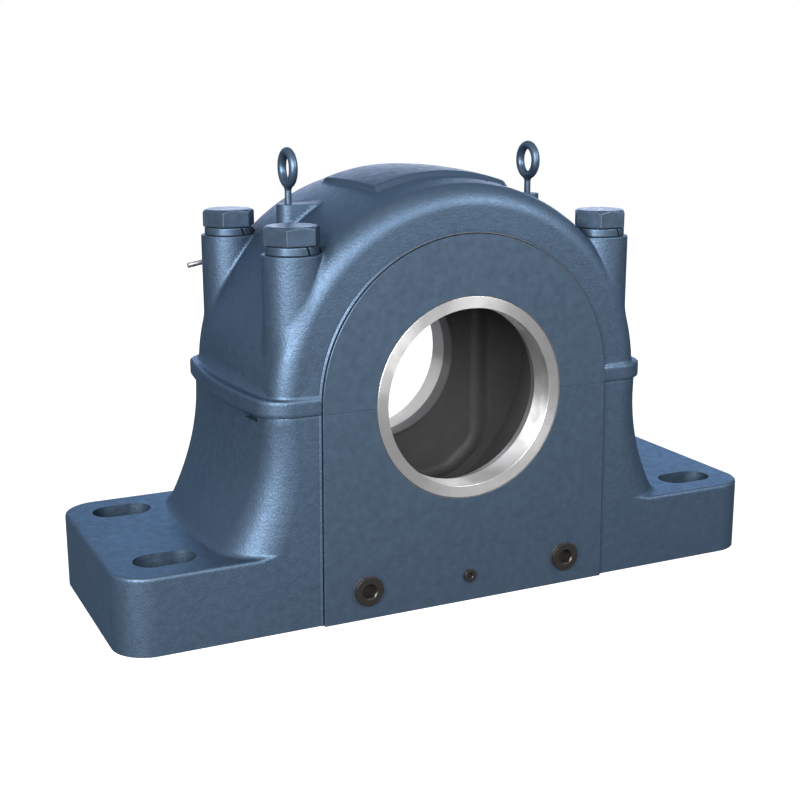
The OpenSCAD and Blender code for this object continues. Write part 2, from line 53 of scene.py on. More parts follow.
FLARE_TOP = 250.0
END_FACE_Y, FACE_LOW_W, FACE_R = 160.0, 195.0, 192.5
PRY_Y, PRY_L, PRY_H, PRY_D = 101.0, 34.0, 10.0, 14.0
ARCH_R, ARCH_Z, ARCH_HALF_D = 258.0, 266.0, 154.0
ARCH_BULGE_R, SHOULDER_R = 1100.0, 24.0
FLANGE_HALF_W, FLANGE_HALF_D, FLANGE_CORNER_R, FLANGE_TOP = 275.0, 157.5, 32.0, 280.0
SKIRT_TOP, SKIRT_LOW_W, SKIRT_LOW_D, SKIRT_HIGH_D = 345.0, 263.0, 152.0, 148.0
SKIRT_SINK = 8.0
SKIRT_HIGH_W = math.sqrt(ARCH_R ** 2 - (SKIRT_TOP - ARCH_Z) ** 2) - SKIRT_SINK
PAD_H, PAD_HALF_Y, PAD_ANGLE = 6.0, 85.0, math.radians(20)
SEAT_R, SEAT_HALF_W = 220.0, 90.0
POCKET_R, INNER_WALL_Y, SUMP_FLOOR, COLUMN_R = 206.0, 113.0, 78.0, 50.0
BOLT_X, BOLT_Y, BOLT_D, BOLT_GRIP = 208.5, 113.0, 36.0, 62.0
HEAD_AF, HEAD_H = 60.0, 22.5
TOWER_R, TOWER_TOP, SPOT_R = 36.0, 442.0, 33.2
WASHER_R, WASHER_INNER_R, WASHER_T = 31.2, 18.55, 10.0
WASHER_CUT, WASHER_CUT_W, WASHER_LEAN = math.radians(-73), 3.0, 0.35
EYE_X, BOSS_TOP, BOSS_R, BOSS_WEB, BOSS_H = 169.0, 488.0, 15.0, 50.0, 60.0
EYE_D, EYE_T, EYE_SHANK_D, EYE_SHANK_L, EYE_RISE = 50.0, 11.0, 8.5, 22.0, 43.0
DOWEL_X, DOWEL_Y, DOWEL_D, DOWEL_L = 242.0, 45.0, 16.0, 44.0
DRAIN_X, DRAIN_Z, DRAIN_D, DRAIN_THREAD_D, DRAIN_THREAD_L = 138.0, 36.5, 37.0, 26.0, 24.0
SMALL_Z, SMALL_D, SMALL_THREAD_D, SMALL_THREAD_L = 33.0, 17.0, 10.0, 14.0
SOCKET_AF, SMALL_SOCKET_AF = 17.0, 6.0
GASKET_T, COLLAR_T = 1.5, 3.5
WAY_D = 16.0
PIPE_AT = (-227.5, 144.18, 405.0)
PIPE_OUT = (-math.cos(math.radians(10)), 0.0, -math.sin(math.radians(10)))
PIPE_SEAT_R, PIPE_THREAD_D, PIPE_THREAD_L = 9.5, 10.0, 12.0

# The seal ring's radii, its depths from the end face, and the gaps between it and the wall
SHAFT_R, RING_R, FIN_R = 110.0, 124.2, 131.0
NECK_R, SLEEVE_R, TAPER_R = RING_R - 5, SHAFT_R + 6, SHAFT_R + 4.4
RIM_DEPTH, TAPER_DEPTH, NECK_DEPTH, SLEEVE_DEPTH = 10, 35, 38, 51
FIN_DEPTHS, FIN_W = (16, 27), 5
RING_CHAMFER, RING_LEAD = 0.4, 0.3
RING_GAP, RING_END_GAP = 0.6, 1

# Room round a thread, round a cap bolt and round a dowel, and at the bottom of their holes
THREAD_GAP, BOLT_HOLE_GAP, DOWEL_GAP = 0.1, 1.5, 0.05
THREAD_ROOM, DOWEL_ROOM = 3, 1

# How far a solid that cuts stands out of the face that it cuts
OVERCUT = 1

# Radii of the cast fillets and rounded edges
EDGE_R = 3.5
TOP_EDGE_R = 1.5
FLARE_FILLET = 5.0
TOWER_FILLET = 3.5
FLANGE_FILLET = 3.0
SKIRT_FILLET = 5.0
POCKET_FILLET = 14.0
PAD_EDGE_R, PAD_FILLET = 10.0, 5.0

# The edges along the joint are rounded a little past it, so its plane cuts part of the round away
BASE_JOINT_R, BASE_JOINT_PAST = 2.5, 0.6
FLANGE_JOINT_R, FLANGE_JOINT_PAST = 3.0, 0.8

# The flat end face, as (height over the face, growth of its outline) pairs: a low rim of cast metal,
# the groove inside the rim, and the plate itself with its broken edge
RIM_LEVELS = ((-20, 3.6), (-5, 3.6), (-3.2, 1.7))
GROOVE_LEVELS = ((-7.5, 1.1), (1, 1.1))
PLATE_LEVELS = ((-20, 0), (-0.6, 0), (0, -0.6))

# Grid steps of the castings and of the small pieces
STEP = 3.3
SMALL_STEP = 1.0

# Low and high corners of the castings' grids, which reach past the castings on every side
BASE_GRID = ((-456, -176, -24), (456, 176, 290))
CAP_GRID = ((-296, -176, 230), (296, 176, 546))

ENDS = (("front", -1), ("rear", 1))
SIDES = (("left", -1), ("right", 1))


# Signed distances. They are negative inside, and their zero is the surface.

def fillet_union(a, b, r):
    """Both bodies, with a round fillet where they meet."""
    return np.maximum(r, np.minimum(a, b)) - np.hypot(np.maximum(r - a, 0), np.maximum(r - b, 0))


def round_common(a, b, r):
    """What two bodies share, with a rounded edge."""
    return np.minimum(-r, np.maximum(a, b)) + np.hypot(np.maximum(r + a, 0), np.maximum(r + b, 0))


def plan_distance(x, y, half_w, half_d, bulge_r, corner_r):
    """Outline with bulging sides, flat ends and round corners. x and y are absolute."""
    side = np.hypot(x - (half_w - bulge_r), y) - bulge_r
    return round_common(side, y - half_d, corner_r)


def bar_distance(x, y, r, x_out, x_in):
    """A round-ended bar that runs inwards from x_out to x_in."""
    return np.maximum(np.hypot(np.maximum(x - x_out, 0), y) - r, x_in - x)


def pocket_distance(x, y, z):
    """The cast space round the bearing: x and y are absolute."""
    tube = np.hypot(x, z - CENTRE_Z) - POCKET_R
    space = round_common(tube, y - INNER_WALL_Y, POCKET_FILLET)
    space = round_common(space, SUMP_FLOOR - z, POCKET_FILLET)
    column = np.hypot(x - BOLT_X, y - BOLT_Y) - COLUMN_R
    return round_common(space, -column, POCKET_FILLET)


def base_distance(p):
    """The cast base: foot, flared body and pocket. Its joint, bores and slots are cut later."""
    x, y, z = np.abs(p[:, 0]), np.abs(p[:, 1]), p[:, 2]
    qx = x - (FOOT_HALF_L - FOOT_CORNER_R)
    qy = y - (FOOT_HALF_W - FOOT_CORNER_R)
    plan = np.hypot(np.maximum(qx, 0), np.maximum(qy, 0)) + np.minimum(np.maximum(qx, qy), 0)
    foot = round_common(plan - FOOT_CORNER_R, z - FOOT_H, EDGE_R)
    t = np.clip((FLARE_TOP - z) / (FLARE_TOP - FOOT_H), 0, 1)
    half_w = BODY_HALF_W + (FLARE_HALF_W - BODY_HALF_W) * t * t
    corner = BODY_CORNER_R + (FLARE_CORNER_R - BODY_CORNER_R) * t
    lean = 2 * (FLARE_HALF_W - BODY_HALF_W) * t / (FLARE_TOP - FOOT_H)
    body = plan_distance(x, y, half_w, FOOT_HALF_W, SIDE_BULGE_R, corner) / np.hypot(1, lean)
    body = round_common(body, z - CENTRE_Z - BASE_JOINT_PAST, BASE_JOINT_R)
    outer = np.maximum(fillet_union(foot, body, FLARE_FILLET), y - FOOT_HALF_W)
    return np.maximum(outer, -pocket_distance(x, y, z))


def cap_distance(p):
    """The cast cap: arch, pad, skirt, towers, eyebolt bosses, joint flange and pocket."""
    x, y, z = np.abs(p[:, 0]), np.abs(p[:, 1]), p[:, 2]
    rise = np.maximum(z - ARCH_Z, 0)
    radius = np.hypot(x, rise)
    arch = plan_distance(radius, y, ARCH_R, ARCH_HALF_D, ARCH_BULGE_R, SHOULDER_R)
    pad = plan_distance(radius, y, ARCH_R + PAD_H, ARCH_HALF_D + PAD_H, ARCH_BULGE_R, SHOULDER_R)
    pad_end = ARCH_R * (np.arctan2(x, np.maximum(rise, 1)) - PAD_ANGLE)
    pad = round_common(round_common(pad, y - PAD_HALF_Y, PAD_EDGE_R), pad_end, TOP_EDGE_R)
    outer = fillet_union(arch, pad, PAD_FILLET)
    t = np.clip((z - FLANGE_TOP) / (SKIRT_TOP - FLANGE_TOP), 0, 1)
    half_w = SKIRT_LOW_W + (SKIRT_HIGH_W - SKIRT_LOW_W) * (2 * t - t * t)
    half_d = SKIRT_LOW_D + (SKIRT_HIGH_D - SKIRT_LOW_D) * t
    skirt = plan_distance(x, y, half_w, half_d, SIDE_BULGE_R, TOWER_R)
    skirt = np.maximum(skirt, z - SKIRT_TOP)
    outer = fillet_union(outer, skirt, SKIRT_FILLET)
    tower = np.hypot(x - BOLT_X, y - BOLT_Y) - TOWER_R
    tower = round_common(tower, z - TOWER_TOP, TOP_EDGE_R)
    outer = fillet_union(outer, tower, TOWER_FILLET)
    boss = bar_distance(x, y, BOSS_R, EYE_X, EYE_X - BOSS_WEB)
    boss = round_common(boss, z - BOSS_TOP, TOP_EDGE_R)
    boss = round_common(boss, BOSS_TOP - BOSS_H - z, TOP_EDGE_R)
    outer = fillet_union(outer, boss, TOWER_FILLET)
    flange = plan_distance(x, y, FLANGE_HALF_W, FLANGE_HALF_D, SIDE_BULGE_R, FLANGE_CORNER_R)
    flange = round_common(flange, z - FLANGE_TOP, EDGE_R)
    flange = round_common(flange, CENTRE_Z - FLANGE_JOINT_PAST - z, FLANGE_JOINT_R)
    outer = fillet_union(outer, flange, FLANGE_FILLET)
    return np.maximum(outer, -pocket_distance(x, y, z))


def hexagon_distance(x, y, across_flats, corner_r):
    """A hexagon with one corner on the x axis and rounded corners."""
    x, y, apothem = np.abs(x), np.abs(y), across_flats / 2 - corner_r
    fold = 2 * np.minimum(0.5 * y - math.sin(math.pi / 3) * x, 0)
    x, y = x + math.sin(math.pi / 3) * fold, y - 0.5 * fold
    half_side = apothem / math.sqrt(3)
    x, y = x - np.clip(x, -half_side, half_side), y - apothem
    return np.hypot(x, y) * np.where(y > 0, 1, -1) - corner_r


# Fields of the small pieces. z = 0 is the face that they sit on.

def head_distance(p):
    """A bolt's head: corners turned off at the top, and a round washer face underneath."""
    corner_r, low_edge_r, top_edge_r = 1.0, 0.5, 0.7
    turned_r, face_r, face_t = 0.48 * HEAD_AF, 0.47 * HEAD_AF, 0.9
    slope = math.radians(30)
    x, y, z = p[:, 0], p[:, 1], p[:, 2]
    radius = np.hypot(x, y)
    prism = round_common(hexagon_distance(x, y, HEAD_AF, corner_r), face_t - z, low_edge_r)
    cone = (radius - turned_r) * math.sin(slope) + (z - HEAD_H) * math.cos(slope)
    head = round_common(round_common(prism, cone, top_edge_r), z - HEAD_H, top_edge_r)
    washer_face = np.maximum(radius - face_r, np.abs(z - 1) - 1)
    return np.minimum(head, washer_face)


def washer_distance(p):
    """A flattened spring washer with rounded edges and a slanting cut."""
    edge_r, cut_edge_r = 1.4, 0.8
    x, y, z = p[:, 0], p[:, 1], p[:, 2]
    radius = np.hypot(x, y)
    ring = np.maximum(radius - WASHER_R, WASHER_INNER_R - radius)
    ring = round_common(ring, np.abs(z - WASHER_T / 2) - WASHER_T / 2, edge_r)
    c, s = math.cos(WASHER_CUT), math.sin(WASHER_CUT)
    along, across = x * c + y * s, y * c - x * s + WASHER_LEAN * (z - WASHER_T / 2)
    gap = np.maximum(np.abs(across) - WASHER_CUT_W / 2, -along)
    return round_common(ring, -gap, cut_edge_r)


def eyebolt_distance(p):
    """A forged lifting eye on a plain shank."""
    neck_fillet = 3.0
    x, y, z = p[:, 0], p[:, 1], p[:, 2]
    mid_r = (EYE_D - EYE_T) / 2
    ring = np.hypot(np.hypot(y, z - EYE_RISE) - mid_r, x) - EYE_T / 2
    neck = np.hypot(x, y) - EYE_SHANK_D / 2
    shank = np.maximum(neck, np.maximum(-EYE_SHANK_L - z, z - EYE_RISE + mid_r))
    return fillet_union(ring, shank, neck_fillet)


def plug_distance(p, collar_r, thread_r, thread_l, socket_af, seat_t):
    """A collared plug with a hexagon socket, whose mouth has a short cone."""
    thread_edge_r, collar_edge_r, socket_corner_r = 1.5, 0.8, 0.3
    socket_depth, cone_r = 0.6 * socket_af, socket_af / math.sqrt(3) + 0.4
    x, y, z = p[:, 0], p[:, 1], p[:, 2]
    radius, top = np.hypot(x, y), seat_t + COLLAR_T
    thread = round_common(radius - thread_r, -thread_l - z, thread_edge_r)
    thread = np.maximum(thread, z - top + 0.5)
    collar_half = np.abs(z - (seat_t + top) / 2) - COLLAR_T / 2
    collar = round_common(radius - collar_r, collar_half, collar_edge_r)
    socket = np.maximum(hexagon_distance(x, y, socket_af, socket_corner_r), top - socket_depth - z)
    lead_in = (radius - cone_r + (top - z)) / math.sqrt(2)
    return np.maximum(np.minimum(thread, collar), -np.minimum(socket, lead_in))


def gradient(distance, p):
    """The field's slope at these points, read a little way to both sides of each."""
    h = 0.05
    g = np.empty_like(p)
    for axis in range(3):
        d = np.zeros(3)
        d[axis] = h
        g[:, axis] = (distance(p + d) - distance(p - d)) / (2 * h)
    return g


def between(distance, low, high):
    """The same body, closed off above and below by planes at these heights."""
    return lambda p: np.maximum(distance(p), np.maximum(low - p[:, 2], p[:, 2] - high))


def crossings(distance, start, axis, step):
    """Where the field is zero on the grid edges that leave these points along an axis."""
    rounds = 4
    low, high = np.zeros(len(start)), np.full(len(start), float(step))
    unit = np.eye(3)[axis]
    at_low, at_high = distance(start), distance(start + unit * step)
    for _ in range(rounds):
        t = low + (high - low) * at_low / (at_low - at_high)
        value = distance(start + unit * t[:, None])
        same = (value < 0) == (at_low < 0)
        low, at_low = np.where(same, t, low), np.where(same, value, at_low)
        high, at_high = np.where(same, high, t), np.where(same, at_high, value)
    t = low + (high - low) * at_low / (at_low - at_high)
    return start + unit * t[:, None]


def gathered(cells, values, count):
    """Sums the values that belong to each cell."""
    return np.stack([np.bincount(cells, v, count) for v in values.T], 1)


def surface_mesh(distance, low, high, step):
    """Dual contouring: quads on the zero surface, with one corner in each grid cell that it crosses.
    Each corner is set where the tangent planes of its cell's crossings meet, so edges stay crisp.
    The pull to the middle holds a corner that its planes leave free, and the margin keeps it in its
    cell."""
    middle_pull, margin, reach = 0.04, 0.02 * step, 0.3 * step
    axes = [np.arange(a, b + step, step) for a, b in zip(low, high)]
    shape = tuple(len(a) for a in axes)
    inside = np.empty(shape, bool)
    plane = np.stack(np.meshgrid(axes[1], axes[2], indexing="ij"), -1).reshape(-1, 2)
    for i, x in enumerate(axes[0]):
        inside[i] = (distance(np.column_stack([np.full(len(plane), x), plane])) < 0).reshape(shape[1:])
    cell_shape = tuple(n - 1 for n in shape)
    count = np.zeros(cell_shape, int)
    for i, j, k in product((0, 1), repeat=3):
        count += inside[i:i + cell_shape[0], j:j + cell_shape[1], k:k + cell_shape[2]]
    active = (count > 0) & (count < 8)
    total = int(active.sum())
    number = np.full(cell_shape, -1)
    number[active] = np.arange(total)
    corner = np.array(low) + np.argwhere(active) * step
    faces, points = [], []
    for axis in range(3):
        b, c = (axis + 1) % 3, (axis + 2) % 3
        here = np.moveaxis(inside, (axis, b, c), (0, 1, 2))
        cells = np.moveaxis(number, (axis, b, c), (0, 1, 2))
        start, end = here[:-1, 1:-1, 1:-1], here[1:, 1:-1, 1:-1]
        quad = np.stack([cells[:, :-1, :-1], cells[:, 1:, :-1], cells[:, 1:, 1:], cells[:, :-1, 1:]], -1)
        for crossing, order in ((start & ~end, slice(None)), (~start & end, slice(None, None, -1))):
            faces.append(quad[crossing][:, order])
            place = np.argwhere(crossing) + (0, 1, 1)
            first = np.empty((len(place), 3))
            first[:, axis] = low[axis] + place[:, 0] * step
            first[:, b] = low[b] + place[:, 1] * step
            first[:, c] = low[c] + place[:, 2] * step
            points.append(crossings(distance, first, axis, step))
    faces, points = np.concatenate(faces), np.concatenate(points)
    normals = gradient(distance, points)
    normals /= np.maximum(np.linalg.norm(normals, axis=1, keepdims=True), 1e-9)
    cells = faces.ravel()
    points, normals = np.repeat(points, 4, axis=0), np.repeat(normals, 4, axis=0)
    middle = gathered(cells, points, total) / np.bincount(cells, minlength=total)[:, None]
    offset = (normals * (points - middle[cells])).sum(1)
    pull = gathered(cells, normals * offset[:, None], total)
    spread = gathered(cells, (normals[:, :, None] * normals[:, None, :]).reshape(-1, 9), total)
    spread = spread.reshape(-1, 3, 3) + middle_pull * np.eye(3)
    corners = middle + np.linalg.solve(spread, pull[:, :, None])[:, :, 0]
    corners = np.clip(corners, corner + margin, corner + step - margin)
    return settle(distance, settle(distance, corners, reach), reach), faces


def settle(distance, points, reach):
    """Moves points along the gradient towards the surface, by no more than the reach."""
    least_slope = 0.2
    g = gradient(distance, points)
    move = g * (distance(points) / np.maximum((g * g).sum(1), least_slope))[:, None]
    length = np.linalg.norm(move, axis=1, keepdims=True)
    return points - move * np.minimum(1, reach / np.maximum(length, 1e-9))


def new_object(name, points, faces, materials=()):
    """A mesh object from points in millimetres."""
    mesh = bpy.data.meshes.new(name)
    mesh.from_pydata((np.asarray(points, float) * MM).tolist(), [], [list(map(int, f)) for f in faces])
    for m in materials:
        mesh.materials.append(m)
    obj = bpy.data.objects.new(name, mesh)
    bpy.context.scene.collection.objects.link(obj)
    return obj


# Simple solids, as points and as faces that look outwards

def frame_along(direction):
    """Three unit vectors, the last one along the direction."""
    w = Vector(direction).normalized()
    u = w.orthogonal().normalized() if abs(w.z) < 0.9 else Vector((1, 0, 0))
    u = (u - w * u.dot(w)).normalized()
    return u, w.cross(u), w


def turned(profile, at, direction, segments):
    """A profile of (radius, height) pairs, turned about the line from at along the direction.
    A profile that starts and ends on the axis closes there, and any other one closes on itself."""
    u, v, w = frame_along(direction)
    closed = profile[0][0] > 0
    rings = [p for p in profile if p[0] > 0]
    points, faces = [], []
    for r, h in rings:
        for i in range(segments):
            a = 2 * math.pi * i / segments
            points.append(Vector(at) + u * (r * math.cos(a)) + v * (r * math.sin(a)) + w * h)
    n = len(rings)
    for k in range(n if closed else n - 1):
        for i in range(segments):
            j = (i + 1) % segments
            a, b = k * segments, ((k + 1) % n) * segments
            faces.append((a + i, a + j, b + j, b + i))
    if not closed:
        faces.append(tuple(range(segments))[::-1])
        faces.append(tuple(range((n - 1) * segments, n * segments)))
    return points, faces


def rod(r, low, high):
    """The profile of a plain cylinder, as (radius, height) pairs."""
    return [(0, low), (r, low), (r, high), (0, high)]


def lofted(levels, at, direction):
    """A skin over outlines of (x, y) pairs, given with their heights as (height, outline) pairs."""
    u, v, w = frame_along(direction)
    points = [Vector(at) + u * x + v * y + w * h for h, outline in levels for x, y in outline]
    n = len(levels[0][1])
    faces = [tuple(range(n))[::-1], tuple(range(len(points) - n, len(points)))]
    for k in range(0, len(points) - n, n):
        faces += [(k + i, k + (i + 1) % n, k + n + (i + 1) % n, k + n + i) for i in range(n)]
    return points, faces


def extruded(outline, at, direction, low, high):
    """A straight solid over one outline, between two heights along the direction."""
    return lofted([(low, outline), (high, outline)], at, direction)


def block(low, high):
    """A box between two opposite corners."""
    (x0, y0, z0), (x1, y1, z1) = low, high
    outline = [(x0, y0), (x1, y0), (x1, y1), (x0, y1)]
    return extruded(outline, (0, 0, 0), (0, 0, 1), z0, z1)


# Work on an object's mesh

def combine(obj, solid, operation):
    """Applies one boolean operation with a solid given as points and faces."""
    tool = new_object("tool", *solid)
    modifier = obj.modifiers.new("cut", "BOOLEAN")
    modifier.operation = operation
    modifier.solver = "MANIFOLD"
    modifier.object = tool
    view = bpy.context.evaluated_depsgraph_get()
    mesh = bpy.data.meshes.new_from_object(obj.evaluated_get(view))
    obj.modifiers.clear()
    old = obj.data
    obj.data = mesh
    bpy.data.meshes.remove(old)
    bpy.data.objects.remove(tool)


def cut(obj, *solids):
    """Cuts these solids away from the object, one after the other."""
    for solid in solids:
        combine(obj, solid, "DIFFERENCE")


def smooth(obj, angle=35.0):
    """Smooth shading, with sharp edges where faces meet at more than the angle."""
    obj.data.shade_smooth()
    obj.data.set_sharp_from_angle(angle=math.radians(angle))


def read(items, name, width=1):
    """One attribute of a mesh's vertices, loops or faces as an array. Vectors have a width of 3."""
    values = np.empty(len(items) * width, np.int32 if width == 1 else np.float32)
    items.foreach_get(name, values)
    return values if width == 1 else values.reshape(-1, width)


def cast_normals(obj, distance):
    """Gives the cast surfaces the field's own normals, and leaves the machined faces as they are.
    A corner's normal is read a little way into its face, so that crisp edges stay crisp: a share
    of the way to the face's centre, and no more than a part of a millimetre."""
    surface_gap, inset_share, inset_most, least_match = 0.1, 0.25, 0.6, 0.8
    mesh = obj.data
    p = read(mesh.vertices, "co", 3).astype(float) / MM
    on_surface = np.abs(distance(p)) < surface_gap
    corner = read(mesh.corner_normals, "vector", 3)
    vertex = read(mesh.loops, "vertex_index")
    sizes = read(mesh.polygons, "loop_total")
    face_normal = np.repeat(read(mesh.polygons, "normal", 3), sizes, axis=0)
    centre = np.repeat(read(mesh.polygons, "center", 3).astype(float) / MM, sizes, axis=0)
    inwards = centre - p[vertex]
    length = np.maximum(np.linalg.norm(inwards, axis=1, keepdims=True), 1e-6)
    g = gradient(distance, p[vertex] + inwards * np.minimum(inset_share, inset_most / length))
    g /= np.maximum(np.linalg.norm(g, axis=1, keepdims=True), 1e-9)
    use = on_surface[vertex] & ((face_normal * g).sum(1) > least_match)
    corner[use] = g[use]
    mesh.normals_split_custom_set(corner.tolist())


# Materials. Scales of noise are per metre.

def node_material(name):
    """A new material, with its nodes and links."""
    material = bpy.data.materials.new(name)
    material.use_nodes = True
    return material, material.node_tree.nodes, material.node_tree.links


def math_node(nodes, links, operation, *values):
    """A math node's output. Each value is a number or another node's output."""
    node = nodes.new("ShaderNodeMath")
    node.operation = operation
    for socket, value in zip(node.inputs, values):
        if isinstance(value, float):
            socket.default_value = value
        else:
            links.new(value, socket)
    return node.outputs["Value"]


def noise(nodes, links, scale, detail=3.0, roughness=0.55, place=None):
    """The height of a noise texture, in the object's own space unless a place is given."""
    texture = nodes.new("ShaderNodeTexNoise")
    texture.inputs["Scale"].default_value = scale
    texture.inputs["Detail"].default_value = detail
    texture.inputs["Roughness"].default_value = roughness
    place = place or nodes.new("ShaderNodeTexCoord").outputs["Object"]
    links.new(place, texture.inputs["Vector"])
    return texture.outputs["Fac"]


def mapped(nodes, links, height, low, high):
    """Spreads the middle of a noise's heights over the range from low to high."""
    scale = nodes.new("ShaderNodeMapRange")
    scale.inputs["From Min"].default_value = 0.3
    scale.inputs["From Max"].default_value = 0.7
    scale.inputs["To Min"].default_value = low
    scale.inputs["To Max"].default_value = high
    links.new(height, scale.inputs["Value"])
    return scale.outputs["Result"]


def varied_colour(nodes, links, height, dark, light):
    """A colour between dark and light, after a noise's height."""
    ramp = nodes.new("ShaderNodeValToRGB")
    ramp.color_ramp.elements[0].color = (*dark, 1)
    ramp.color_ramp.elements[1].color = (*light, 1)
    links.new(height, ramp.inputs["Fac"])
    return ramp.outputs["Color"]


def bumped(nodes, links, height, distance, before=None):
    """A bump of this height in metres, on top of the one before."""
    bump = nodes.new("ShaderNodeBump")
    bump.inputs["Distance"].default_value = distance
    bump.inputs["Strength"].default_value = 1.0
    links.new(height, bump.inputs["Height"])
    if before:
        links.new(before, bump.inputs["Normal"])
    return bump.outputs["Normal"]


# Layers of the cast grain: scale, detail and roughness of the noise, and its share of the height
GRAIN_LAYERS = ((60.0, 2.0, 0.5, 0.8), (300.0, 2.0, 0.5, 1.1), (650.0, 3.0, 0.6, 0.8))


def paint_material(name, dark, light, grain, roughness, metallic, tint=(1, 1, 1)):
    """Satin paint with a metallic sheen over a sand casting. grain is its grain's height in metres."""
    material, nodes, links = node_material(name)
    shader = nodes["Principled BSDF"]
    colour = varied_colour(nodes, links, noise(nodes, links, 14.0, 5.0, 0.6), dark, light)
    links.new(colour, shader.inputs["Base Color"])
    normal = None
    for scale, detail, rough, share in GRAIN_LAYERS:
        height = noise(nodes, links, scale, detail, rough)
        normal = bumped(nodes, links, height, grain * share, normal)
    links.new(normal, shader.inputs["Normal"])
    mottle = noise(nodes, links, 110.0)
    rough = mapped(nodes, links, mottle, roughness - 0.06, roughness + 0.06)
    links.new(rough, shader.inputs["Roughness"])
    shader.inputs["Metallic"].default_value = metallic
    shader.inputs["Specular IOR Level"].default_value = 0.25
    shader.inputs["Specular Tint"].default_value = (*tint, 1)
    return material


def turned_place(nodes, links):
    """Texture coordinates that change with the radius and along the shaft, but not round it."""
    split = nodes.new("ShaderNodeSeparateXYZ")
    links.new(nodes.new("ShaderNodeTexCoord").outputs["Object"], split.inputs["Vector"])
    rise = math_node(nodes, links, "SUBTRACT", split.outputs["Z"], CENTRE_Z * MM)
    flat = nodes.new("ShaderNodeCombineXYZ")
    links.new(split.outputs["X"], flat.inputs["X"])
    links.new(rise, flat.inputs["Y"])
    radius = nodes.new("ShaderNodeVectorMath")
    radius.operation = "LENGTH"
    links.new(flat.outputs["Vector"], radius.inputs[0])
    station = nodes.new("ShaderNodeCombineXYZ")
    links.new(radius.outputs["Value"], station.inputs["X"])
    links.new(split.outputs["Y"], station.inputs["Y"])
    return station.outputs["Vector"]


def turned_material(name, colour, roughness, spread):
    """Turned steel, with fine lines that run round the shaft's axis and spread the highlights."""
    line_depth = 0.00002
    material, nodes, links = node_material(name)
    shader = nodes["Principled BSDF"]
    shader.inputs["Metallic"].default_value = 1.0
    shader.inputs["Anisotropic"].default_value = spread
    shader.inputs["Anisotropic Rotation"].default_value = 0.25
    around = nodes.new("ShaderNodeTangent")
    around.direction_type = "RADIAL"
    around.axis = "Y"
    links.new(around.outputs["Tangent"], shader.inputs["Tangent"])
    line = noise(nodes, links, 900.0, 2.0, 0.5, turned_place(nodes, links))
    shaded = varied_colour(nodes, links, line, [c * 0.86 for c in colour], colour)
    links.new(shaded, shader.inputs["Base Color"])
    links.new(bumped(nodes, links, line, line_depth), shader.inputs["Normal"])
    rough = mapped(nodes, links, noise(nodes, links, 45.0), roughness - 0.04, roughness + 0.05)
    links.new(rough, shader.inputs["Roughness"])
    return material


def metal_material(name, dark, light, roughness, grain_scale, metallic=1.0):
    """Plain worked metal with a little mottling."""
    grain_depth = 0.00006
    material, nodes, links = node_material(name)
    shader = nodes["Principled BSDF"]
    shader.inputs["Metallic"].default_value = metallic
    grain = noise(nodes, links, grain_scale, 4.0, 0.6)
    links.new(varied_colour(nodes, links, grain, dark, light), shader.inputs["Base Color"])
    links.new(bumped(nodes, links, grain, grain_depth), shader.inputs["Normal"])
    rough = mapped(nodes, links, grain, roughness - 0.05, roughness + 0.05)
    links.new(rough, shader.inputs["Roughness"])
    return material


# The paint's highlights are bluish, and its grain is coarse on cast faces and fine on machined ones
SHEEN, TINT = 0.8, (0.32, 0.42, 0.58)
COARSE, FINE = 0.00028, 0.00006
paint = paint_material(
    "cast_paint", (0.037, 0.057, 0.086), (0.046, 0.070, 0.105), COARSE, 0.47, SHEEN, TINT)
flat_paint = paint_material(
    "machined_paint", (0.041, 0.062, 0.091), (0.044, 0.066, 0.097), FINE, 0.46, SHEEN, TINT)
hardware_paint = paint_material(
    "hardware_paint", (0.042, 0.063, 0.092), (0.048, 0.072, 0.106), FINE, 0.40, SHEEN, TINT)
# The inside's primer is much darker than its own light grey: painted shade for the dark space round the
# bearing
shaded_inside_primer = paint_material(
    "shaded_inside_primer", (0.045, 0.045, 0.045), (0.078, 0.078, 0.076), 0.0006, 0.58, 0.25)
ring_steel = turned_material("ring_steel", (0.54, 0.535, 0.54), 0.42, 0.9)
faced_steel = turned_material("faced_steel", (0.42, 0.41, 0.415), 0.38, 0.72)
# A dark copy of the ring steel: painted shade on the ring's inner taper and sleeve, which face the dark
# inside
shaded_ring_steel = turned_material("shaded_ring_steel", (0.15, 0.15, 0.16), 0.42, 0.6)
pin_steel = metal_material("pin_steel", (0.50, 0.50, 0.51), (0.60, 0.60, 0.61), 0.25, 300.0)
black_steel = metal_material("black_oxide", (0.010, 0.009, 0.008), (0.018, 0.016, 0.015), 0.36, 260.0, 0.6)
copper = metal_material("soft_copper", (0.30, 0.16, 0.10), (0.42, 0.22, 0.14), 0.35, 200.0)
pipe_steel = metal_material("pipe_steel", (0.34, 0.34, 0.34), (0.44, 0.44, 0.44), 0.36, 260.0)


# The castings

def blind_hole(diameter, depth, at, direction, segments):
    """A threaded hole with a little room round and under its thread, as a solid to cut away."""
    profile = rod(diameter / 2 + THREAD_GAP, -depth - THREAD_ROOM, OVERCUT)
    return turned(profile, at, direction, segments)


def plug_ways():
    """The plugs' holes, the drilled ways that join the large ones, and the ways up into the oil space."""
    tools = []
    way_y = (SEAT_HALF_W + INNER_WALL_Y) / 2
    way_top = 80
    for x in (-DRAIN_X, DRAIN_X):
        tools.append(turned(rod(WAY_D / 2, -END_FACE_Y, END_FACE_Y), (x, 0, DRAIN_Z), (0, 1, 0), 32))
        tools.append(turned(rod(WAY_D / 2, 0, way_top), (x, -way_y, DRAIN_Z), (0, 0, 1), 32))
    for side in (-1, 1):
        y, out = side * END_FACE_Y, (0, side, 0)
        for x in (-DRAIN_X, DRAIN_X):
            tools.append(blind_hole(DRAIN_THREAD_D, DRAIN_THREAD_L, (x, y, DRAIN_Z), out, 48))
        tools.append(blind_hole(SMALL_THREAD_D, SMALL_THREAD_L, (0, y, SMALL_Z), out, 32))
    return tools


